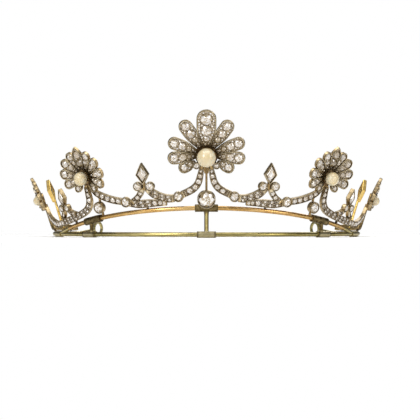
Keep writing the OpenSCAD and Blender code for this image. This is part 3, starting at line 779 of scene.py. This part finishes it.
# centre flower, with its small stones beside the pearl, its wire and the round setting below
centreStone = {"h": 4.9, "r": 3.45, "back": 1.35, "top": 3.95}
besidePearl = {"r": 1.05, "x": 4.3, "y": -4.4, "z": -0.4, "floor": 1.1}
centreWire = {"section": [(-0.6, -0.7), (0.6, -0.7), (0.6, 0.9), (0.0, 1.5), (-0.6, 0.9)],
              "thin": 0.8, "swells": 8.5, "ends": 3.6}  # a knife edge in front
web = {"outline": [(-0.9, -8.2), (0.9, -8.2), (1.5, -5), (1.5, -4), (-1.5, -4), (-1.5, -5)],
       "back": -1.1, "front": -0.5}


def addCentreParts(home, shape, field):
    drop = flowers["centre"]["h"] - centreStone["h"]
    lowPlace = home @ shift(0, -drop)
    colletShape(shape, lowPlace, centreStone["r"], centreStone["back"], centreStone["top"])
    floor = besidePearl["floor"]
    for x in (-besidePearl["x"], besidePearl["x"]):
        spot = home @ shift(x, besidePearl["y"], besidePearl["z"])
        colletShape(shape, spot, besidePearl["r"], 0.0, floor + 0.8, floor)
        field.stone(spot @ shift(0, 0, floor + setting["gap"]),
                    besidePearl["r"] + setting["spread"])
    shape.sweep([shape.ring(lowPlace, [(k * x, y, z) for x, z in centreWire["section"]])
                 for y, k in ((centreStone["r"] + 0.2, centreWire["thin"]),
                              (drop - centreWire["swells"], centreWire["thin"]),
                              (drop - centreWire["ends"], 1.0))], "joint")
    shape.sweep([shape.ring(home, [(x, y, z) for x, y in web["outline"]])
                 for z in (web["back"], web["front"])], "joint", "goldBack")


for label, flower in flowers.items():
    for ending in flower["endings"]:
        home, shape, field = flowerPieces(flower)
        if label == "centre":
            addCentreParts(home, shape, field)
        mountPiece(label + "FlowerMount", shape, ending, f"{label}_flower_setting")
        stonesPiece(label + "FlowerCut", field, ending, flower["seed"], f"{label}_flower_stones")
    pearlPieces(label, flower, home)
print("flowers made")


# the section of a band, the stones in it, and the bars of solder between them
garland = {"back": -0.9, "floor": 0.0, "top": 0.75, "rim": 0.21, "backBevel": 0.15, "bevel": 0.12,
           "outerLip": 0.08, "innerLip": 0.06, "cap": 0.16, "step": 0.8, "slack": 0.04,
           "close": 0.3, "pairFrom": 1.33, "pairAt": 0.52, "pairLag": 0.4, "pairSize": 0.94,
           "chipFrom": 0.2, "chipTo": 0.3, "light": 0.94, "small": 0.58, "smallTo": 0.35,
           "seam": 0.13, "solder": 0.3, "solderAt": 0.22, "tongue": 0.75}


def blend(a, b, c, d, t):  # a smooth curve from b to c
    return [0.5 * (2 * q + (r - p) * t + (2 * p - 5 * q + 4 * r - u) * t ** 2
                   + (3 * q - p - 3 * r + u) * t ** 3) for p, q, r, u in zip(a, b, c, d)]


def rowPoint(row):
    return onSpray(*row[:2]).translation


class Path:  # a band's middle line, with its half width, by length along it
    def __init__(self, rows, steps=6):
        ends = [rows[0], *rows, rows[-1]]
        self.rows = [blend(*ends[i:i + 4], j / steps)
                     for i in range(len(rows) - 1) for j in range(steps)]
        self.rows.append(list(rows[-1]))
        self.sums = [0.0]
        for a, b in zip(self.rows, self.rows[1:]):
            self.sums.append(self.sums[-1] + (rowPoint(b) - rowPoint(a)).length)
        self.total = self.sums[-1]

    def at(self, t):
        t = min(max(t, 0), self.total)
        i = max(k for k in range(len(self.sums) - 1) if self.sums[k] <= t)
        f = (t - self.sums[i]) / max(self.sums[i + 1] - self.sums[i], 1e-9)
        return [a + (b - a) * f for a, b in zip(self.rows[i], self.rows[i + 1])]

    def stoneRadius(self, t):
        return self.at(t)[2] - garland["rim"] - garland["slack"]

    def frame(self, t, reach=0.2):
        row = self.at(t)
        out = sprayAxes(row[0])[2]
        run = rowPoint(self.at(t + reach)) - rowPoint(self.at(t - reach))
        across = out.cross(run).normalized()
        return rowPoint(row), across, out, row[2]


def bandStones(path, first, end):
    r = path.stoneRadius(first)
    t, end, found = first + r + setting["gap"], end - setting["gap"], []
    while t + r <= end:
        found.append((t, r))
        following = path.stoneRadius(t + 2 * r)
        t += r + following + garland["close"]
        r = following
    return found


def bandSection(half, floor):
    back, top, bevel = garland["back"], garland["top"], garland["bevel"]
    inner = half - garland["rim"]
    right = [(half - bevel, back), (half, back + garland["backBevel"]), (half, top - bevel),
             (half - garland["outerLip"], top), (inner + garland["innerLip"], top),
             (inner, top - bevel), (inner, floor)]
    left = [(-x, z) for x, z in reversed(right)]
    return left[-2:] + right + left[:-2]


sideFinishes = ["gildedSide", "greyWall", "brightRim", "brightRim", "recess"]
openFinishes = ["goldBack"] * 3 + sideFinishes + ["recess"] + sideFinishes[::-1]
closedFinishes = [f if i < 5 or i > 11 else "brightRim" for i, f in enumerate(openFinishes)]


def bandShape(shape, path, first, end, cut=0.02):  # open from first to end, closed beyond
    count = max(2, math.ceil(path.total / garland["step"]))
    stops = sorted({path.total * i / count for i in range(count + 1)}
                   | {first - cut, first + cut, end - cut, end + cut})
    rings, opened = [], []
    for t in stops:
        middle, across, out, half = path.frame(t)
        opened.append(first < t < end)
        floor = garland["floor"] if opened[-1] else garland["top"] - garland["cap"]
        rings.append(shape.ring(here, [middle + x * across + z * out
                                       for x, z in bandSection(half, floor)]))
    for a, b, hollow in zip(rings, rings[1:], opened[1:]):
        shape.bridge(a, b, openFinishes if hollow else closedFinishes)
    shape.closeEnds(rings, "greyWall", "greyWall")


def addBand(shape, field, first, last, rows):
    path = Path(rows)
    end = path.total - last
    bandShape(shape, path, first, end)

    def crossBar(t, short, w, r, finish, steps):
        middle, across, out, half = path.frame(t)
        tube(shape, middle - (half - short) * across + w * out,
             middle + (half - short) * across + w * out, r, r, finish, steps)

    placed = []
    for t, r in bandStones(path, first, end):
        if r > garland["pairFrom"]:
            half = garland["pairAt"] * (path.at(t)[2] - garland["rim"])
            placed += [(x, t + garland["pairLag"] * x, garland["pairSize"] * half)
                       for x in (-half, half)]
        else:
            placed.append((0.0, t, r))
        seam = t + r + garland["close"] / 2
        if seam < end - garland["close"]:
            crossBar(seam, garland["rim"] - 0.02, 0.5, garland["seam"], "root", 6)
    pieces = 24  # of the channel's edge
    stops = [first + (end - first) * i / pieces for i in range(pieces + 1)]
    edge = [(path.at(t)[2] - garland["rim"], t) for t in stops]
    edge += [(-x, t) for x, t in reversed(edge)]
    chips = fillStones(edge, placed, garland["chipTo"], garland["chipFrom"])
    level = garland["floor"] + setting["gap"]
    for x, t, r in placed + chips:
        middle, across, out, half = path.frame(t)
        place = onSpray(path.at(t)[0], 0, 0)
        place.translation = middle + x * across + lifted(level, r, 0.5) * out
        field.stone(place, r, garland["light" if r > garland["smallTo"] else "small"])
    for t in (garland["solderAt"], path.total - garland["solderAt"]):
        crossBar(t, 0.25, 0.55, garland["solder"], "joint", 8)  # a band meets its neighbour


def tongue(shape, start, end, half):  # a flat bar that runs from a band's end to a flower
    first, last = onSpray(*start), onSpray(*end)
    along = (last.translation - first.translation).normalized()
    out = sprayAxes(start[0])[2]
    across = along.cross(out)
    top = garland["tongue"]
    section = [(-1, -0.8), (1, -0.8), (1, 0.3), (0.6, top), (-0.6, top), (-1, 0.3)]
    shape.sweep([shape.ring(here, [place.translation + a * k * half * across + b * out
                                   for a, b in section])
                 for place, k in ((first, 1.0), (last, 0.8))], "joint")


def post(shape, s, h, finish="darkPost"):
    place = onSpray(s, 0)
    tube(shape, place @ Vector((0, 1.05, -0.5)), place @ Vector((0, h, -0.5)), 0.6, 0.5, finish)


# each band: closed length at its start and end, then rows of (s, h, half width)
garlands = {
    "inner": {
        "bands": [
            (0.6, 1, [(1.95, 17.95, 0.95), (2.5, 14.4, 1.4), (3.5, 11, 1.5), (5.8, 8.4, 1.55),
                      (10.2, 6.2, 1.5)]),
            (0.9, 2, [(13.6, 4.8, 1.6), (16.4, 4.8, 1.7), (19.4, 5.9, 1.6), (22.2, 7.3, 1.8),
                      (25, 10, 1.3)]),
            (1.7, 1, [(17, 2.9, 1.1), (20.4, 3.1, 1.35), (25.2, 3.3, 1.7), (29.6, 3.4, 1.7),
                      (34.2, 4.5, 1.45)]),
            (1.6, 0.9, [(27.2, 10.4, 1.25), (28.1, 8.3, 1.3), (30, 6.2, 1.3), (32.6, 4.7, 1.3)]),
            (1, 0.6, [(37, 5.4, 1.45), (41.6, 6.8, 1.5), (46, 8.8, 1.5), (50, 11.5, 1.3),
                      (52.15, 14.9, 0.85)])],
        "collets": [(11.8, 5.4, 1.8), (35.6, 5.1, 1.8)],
        "tongues": [((1.95, 17.8), (1.7, 19.6), 0.95), ((52.1, 14.7), (52.5, 16.8), 0.85)],
        "posts": [(26, 2.2)],
        "trefoil": {"s": 26.2, "h": 16.4, "half": 2.45, "above": 4.4, "below": 3.6, "r": 1.55,
                    "stem": 2.8},
        "seed": 31, "trefoilSeed": 51},
    "outer": {
        "bands": [
            (0.6, 0.6, [(54.8, 15.2, 1), (54.6, 11.4, 1.4), (54.9, 8.2, 1.55), (57, 5.4, 1.6),
                        (61.4, 4, 1.65), (68, 3.5, 1.65), (76, 3.5, 1.6), (84, 4.4, 1.5),
                        (92, 6.4, 1.4), (97.4, 9, 1.3), (100.7, 12.4, 1)]),
            (0.8, 3.3, [(65.8, 4.8, 1.1), (69, 6.4, 1.15), (71.7, 9.4, 1.1)]),
            (2.7, 0.8, [(74, 9.2, 1.1), (75.4, 7, 1.15), (78, 5, 1.1)])],
        "collets": [],
        "tongues": [((54.8, 15), (54.4, 16.8), 0.95), ((100.6, 12.2), (101.1, 14.3), 0.9)],
        "posts": [(68, 3)],
        "trefoil": {"s": 72.8, "h": 14, "half": 2.05, "above": 3.6, "below": 3, "r": 1.3,
                    "stem": 2.4},
        "seed": 61, "trefoilSeed": 81},
    "end": {
        "bands": [
            (0.6, 0.6, [(103.3, 12.4, 1), (104.2, 9.2, 1.3), (107, 5.4, 1.45), (112, 3.6, 1.5),
                        (120, 3.2, 1.5), (130, 3, 1.5), (139, 2.9, 1.4), (147, 2.7, 1.2)])],
        "collets": [],
        "tongues": [((103.4, 12.2), (102.9, 14.3), 0.9)],
        "posts": [(112, 3), (140, 2.4)],
        "seed": 91},
}


def garlandShape(parts):
    shape, field = Shape(), Field()
    for first, last, rows in parts["bands"]:
        addBand(shape, field, first, last, rows)
    for s, h, r in parts["collets"]:
        colletShape(shape, onSpray(s, h), r, garland["back"], 1.1, 0.0)
        field.stone(onSpray(s, h, 0.1), r + setting["spread"])
    for start, end, half in parts["tongues"]:
        tongue(shape, start, end, half)
    for s, h in parts["posts"]:
        post(shape, s, h)
    return shape, field


pair = {"apart": 1.3, "drop": 1.7, "w": 0.5, "depth": 2.1}  # the two round stones of a trefoil


def addTrefoil(shape, field, t):
    place = onSpray(t["s"], t["h"])
    back, top = garland["back"], garland["back"] + pair["depth"]
    shape.loft(place, [(0.15, back, "goldBack"), (0.0, back + 0.2, "gildedSide"),
                       (0.0, top - 0.18, "gildedSide"), (0.08, top, "greyWall"),
                       (0.29, top, "brightRim"), (0.35, top - 0.14, "brightRim"),
                       (0.35, 0.0, "recess")],
               lozengeOutline(t, 0.5, 0.8), ("goldBack", "recess"))
    for x in (-1, 1):
        spot = place @ shift(x * (t["r"] + pair["apart"]), -t["below"] - pair["drop"])
        colletShape(shape, spot, t["r"], back, top)
        field.stone(spot @ shift(0, 0, pair["w"]), t["r"] + setting["spread"])
    tube(shape, place @ Vector((0, -t["below"] - t["stem"] - 0.6, -0.2)),
         place @ Vector((0, -t["below"] + 0.4, -0.2)), 0.75, 0.75, "joint")


def garlandPieces(label, shape, field, ending):
    parts, pairField = garlands[label], Field()
    addTrefoil(shape, pairField, parts["trefoil"])
    mountPiece(label + "GarlandMount", shape, ending, f"{label}_garland")
    stonesPiece(label + "GarlandCut", field, ending, parts["seed"], f"{label}_garland_stones")
    stonesPiece(label + "TrefoilCut", pairField, ending, parts["trefoilSeed"],
                f"{label}_trefoil_stones")


# the tall leaf of the end spray, on its stem
leaf = {"s": 131.5, "h": 22, "half": 2.4, "above": 4.6, "below": 5, "stemFrom": 2.6}
leafLevels = [(0.6, -0.9, "goldBack"), (0.45, -0.9, "goldBack"), (0.15, -0.9, "goldBack"),
              (0.0, -0.75, "goldBack"), (0.0, 0.85, "goldBack"), (0.12, 1.0, "petalRim"),
              (0.42, 1.0, "petalRim"), (0.55, 0.8, "petalRim"), (0.6, 0.0, "goldBack")]


def endSprayPieces(ending):
    shape, field = garlandShape(garlands["end"])
    place = onSpray(leaf["s"], leaf["h"])
    shape.loft(place, leafLevels, lozengeOutline(leaf, 0.6, 0.9), None)
    tube(shape, place @ Vector((0, leaf["stemFrom"] - leaf["h"], -0.5)),
         place @ Vector((0, -leaf["below"], -0.5)), 0.75, 0.6, "goldBack")
    mountPiece("endSprayMount", shape, ending, "end_spray")
    stonesPiece("endSprayCut", field, ending, garlands["end"]["seed"], "end_spray_stones")


# levels of (share of the outline, share of the depth), and the painted light of the facets between
# them
lozengeCut = {"levels": [(0.86, 0.0), (1.0, 0.12), (1.0, 0.2), (0.72, 0.68), (0.46, 1.0),
                         (0.16, 1.0)],
              "lights": [0.1, 0.15, 0.5, 0.7, 0.8], "base": 0.1, "table": 0.9}


def lozengeStone(label, size, w, more, depth, ending, seed):
    corners = lozengeOutline(size, more, more, 2, 0)(0)
    shape = Shape()
    rings = [shape.ring(onSpray(size["s"], size["h"], w),
                        [(k * x, k * y, z * depth) for x, y in corners])
             for k, z in lozengeCut["levels"]]
    for a, b in zip(rings, rings[1:]):
        for i in range(len(a)):
            j = (i + 1) % len(a)
            shape.face([a[i], a[j], b[j]], "diamond")
            shape.face([a[i], b[j], b[i]], "diamond")
    shape.closeEnds(rings, "diamond", "diamond")
    piece = shape.make(label + "LozengeCut" + ending, sideOf(ending), 1)
    rng = random.Random(seed + sideOf(ending))
    # painted reflections on the lozenge's facets
    facets = [light for light in lozengeCut["lights"] for _ in range(2 * len(corners))]
    facets += [lozengeCut["base"], lozengeCut["table"]]
    tone = piece.data.attributes.new("tone", "FLOAT", "FACE")
    tone.data.foreach_set("value", [min(1, light + rng.uniform(-0.3, 0.25)) for light in facets])
    standsFor(piece, f"{label}_lozenge_stone", ending)


bandEndStone = {"at": (17.85, 2.93, 0.56), "r": 0.72}  # on the lower band's end
sideStone = {"s": 49.3, "h": 4.9, "w": 1.2, "r": 2.15, "back": -0.6, "top": 2, "post": 10.2}

for ending in sides:
    shape, field = garlandShape(garlands["inner"])
    field.stone(onSpray(*bandEndStone["at"]), bandEndStone["r"])
    colletShape(shape, onSpray(sideStone["s"], sideStone["h"]), sideStone["r"],
                sideStone["back"], sideStone["top"])
    post(shape, sideStone["s"], sideStone["post"], "joint")
    garlandPieces("inner", shape, field, ending)
    garlandPieces("outer", *garlandShape(garlands["outer"]), ending)
    endSprayPieces(ending)

    for label in ("inner", "outer"):
        lozengeStone(label, garlands[label]["trefoil"], 0.1, 0.1, 1.4, ending, 111)
    lozengeStone("end", leaf, -0.4, -0.3, 1.3, ending, 121)

    field = Field()
    field.stone(onSpray(sideStone["s"], sideStone["h"], sideStone["w"]), sideStone["r"] + 0.05)
    stonesPiece("sideDiamondCut", field, ending, 131, "side_diamond")

field = Field()
field.stone(onSpray(0, centreStone["h"], centreStone["top"] - 1.0), centreStone["r"] + 0.12)
stonesPiece("centreDiamondCut", field, "", 140, "centre_diamond")
print("garlands made")


# the rails, loops and brackets keep their solids and get their own golds
frameFinish = {
    "upper_rail": "upperGold", "lower_rail": "lowerGold",
    "end_loop_left": "lowerGold", "end_loop_right": "lowerGold",
    "centre_bracket": "centreSleeve",
    "side_bracket_left": "sideSleeve", "side_bracket_right": "sideSleeve",
}
for name, finish in frameFinish.items():
    nodes[name].data.materials.clear()
    nodes[name].data.materials.append(materials[finish])

for template in (largeCut, smallCut):
    bpy.data.objects.remove(template)


studio = {"floor": 1.2, "lens": 129.3, "cameraZ": 0.006, "distance": 0.72,
          "shiftX": 0.0085, "shiftY": 0.033}

floorMesh = bpy.data.meshes.new("floor")
size = studio["floor"]
floorMesh.from_pydata([(-size, -size, 0), (size, -size, 0), (size, size, 0), (-size, size, 0)],
                      [], [(0, 1, 2, 3)])
floor = addObject("floor", floorMesh)
paint = Paint("paleFloor", Roughness=0.55)
x, y, z = paint.split(paint.place())
away = paint.maths("SQRT", x * x + y * y)
cloud = paint.noise(3.0, 2.0)
floorMesh.materials.append(paint.set(
    Base_Color=paint.ramp(cloud, [(0.3, (0.90, 0.90, 0.90)), (0.7, (0.93, 0.93, 0.93))]),
    Alpha=paint.step(away, 0.1, 0.3, 1.0, 0.0)))  # fades into the white round it


def softBox(name, at, aim, width, height, power, colour=(1, 1, 1)):
    light = bpy.data.lights.new(name, "AREA")
    light.shape, light.size, light.size_y = "RECTANGLE", width, height
    light.energy, light.color = power, colour
    lamp = addObject(name, light)
    lamp.location = at
    lamp.rotation_euler = (Vector(aim) - Vector(at)).to_track_quat("-Z", "Y").to_euler()


softBox("topLight", (0, -0.15, 0.9), (0, 0, 0), 0.9, 0.6, 7)
softBox("leftLight", (-0.6, -0.9, 0.5), (0, 0, 0.02), 0.35, 0.5, 6)
softBox("rightLight", (0.85, -0.7, 0.35), (0, 0, 0.02), 0.25, 0.5, 3, (1, 0.97, 0.93))
softBox("backLight", (0.2, 1.0, 0.6), (0, 0, 0.02), 0.8, 0.4, 3.2)

# the camera sees white, and metal and stones see a grey room that is lighter in front
world = bpy.data.worlds.new("studio")
scene.world = world
world.use_nodes = True
room = Nodes(world.node_tree)
room.tree.nodes.clear()
direction = room.split(room.wire("ShaderNodeTexCoord", "Generated"))
height = room.ramp(direction[2], [
    (0.0, (0.62, 0.62, 0.62)), (0.12, (0.42, 0.42, 0.43)), (0.35, (0.16, 0.16, 0.17)),
    (0.7, (0.55, 0.55, 0.55)), (1.0, (0.80, 0.80, 0.80))])
lit = room.wire("ShaderNodeVectorMath", 0, {"operation": "SCALE"}, {
    0: height, "Scale": room.step(direction[1], -0.8, 0.3, 0.95, 0.34)})
seen = room.mix(lit, (1, 1, 1), room.wire("ShaderNodeLightPath", "Is Camera Ray"))
background = room.wire("ShaderNodeBackground", 0, {}, {"Color": seen})
room.add("ShaderNodeOutputWorld", {}, {0: background})

cameraData = bpy.data.cameras.new("camera")
camera = addObject("camera", cameraData)
cameraData.lens, cameraData.sensor_width = studio["lens"], 36
cameraData.shift_x, cameraData.shift_y = studio["shiftX"], studio["shiftY"]
camera.location = (0, rail["centreY"] * mm - studio["distance"], studio["cameraZ"])
camera.rotation_euler = (math.radians(90), 0, 0)
cameraData.clip_start, cameraData.clip_end = 0.01, 20
scene.camera = camera
scene.view_settings.view_transform = "Standard"

print("scene made")
